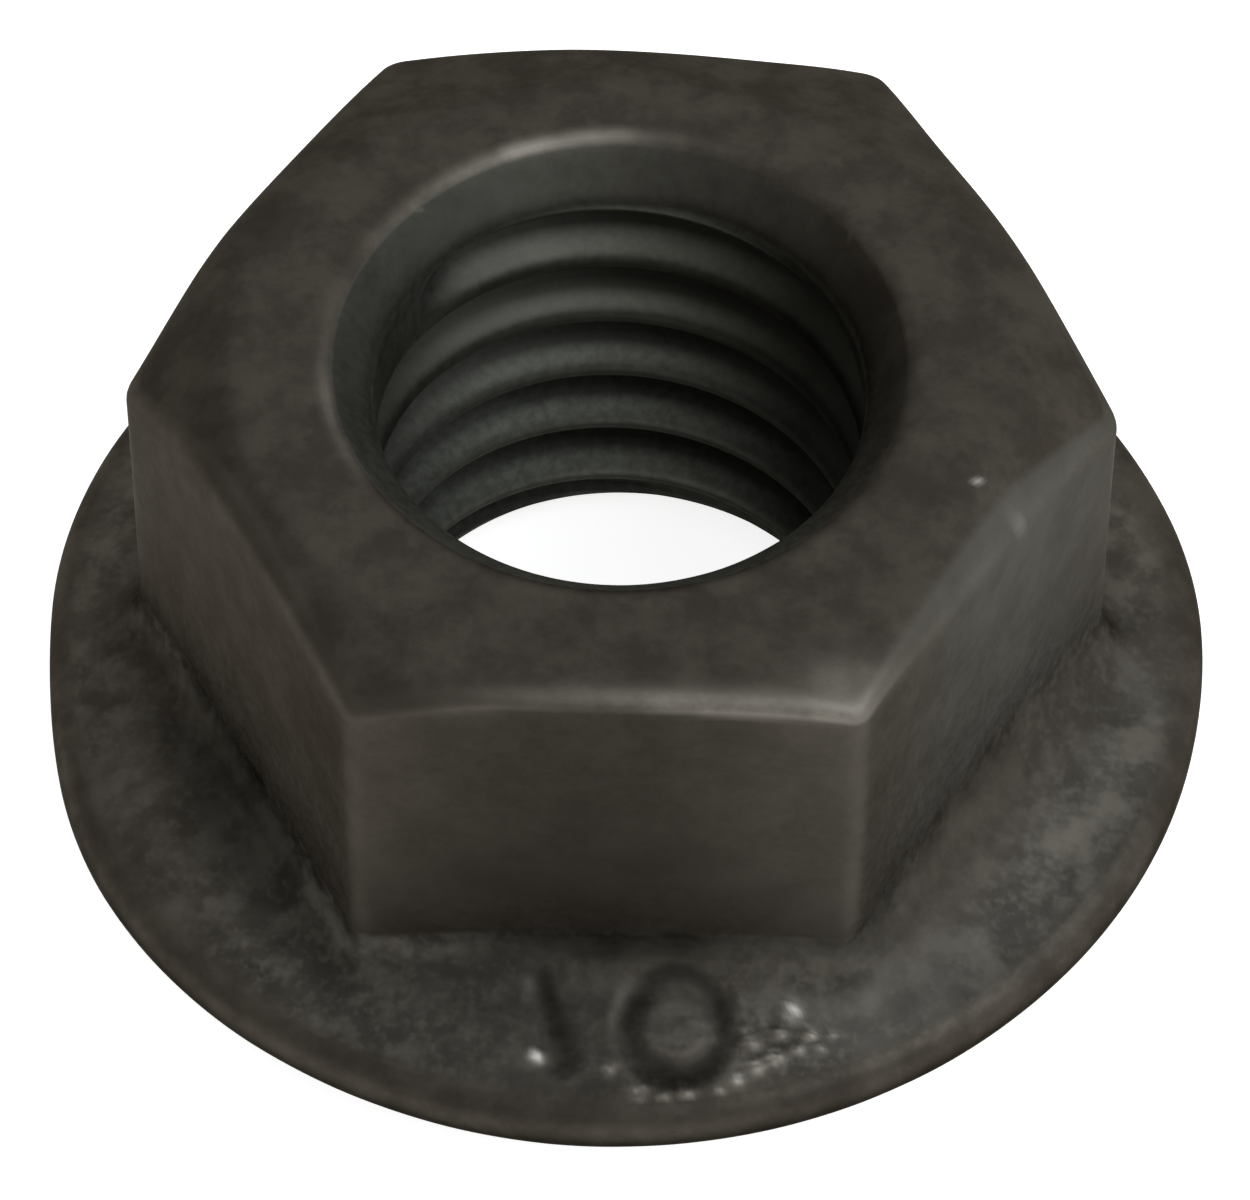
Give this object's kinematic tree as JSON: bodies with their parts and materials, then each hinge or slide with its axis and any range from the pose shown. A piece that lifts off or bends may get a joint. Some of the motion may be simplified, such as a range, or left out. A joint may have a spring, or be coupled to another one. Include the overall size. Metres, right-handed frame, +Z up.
{
  "type": "hexagon flange nut",
  "caption": "Hexagon flange nut with a coarse right-hand thread: clamps a joint, its flange spreading the load as a washer would.",
  "frame": {"origin": "centre of the flange's flat bearing face, on the axis of the threaded bore", "axes": "+Z up the bore from the bearing face to the top of the hexagon; two of the six flats face -Y and +Y"},
  "size_m": [0.0208, 0.0208, 0.01],
  "materials": {
    "steel": "black oxide over cold-forged steel, oiled, worn bright along the edges"
  },
  "bodies": {
    "root": {"flange_nut": "steel"}
  },
  "joints": []
}
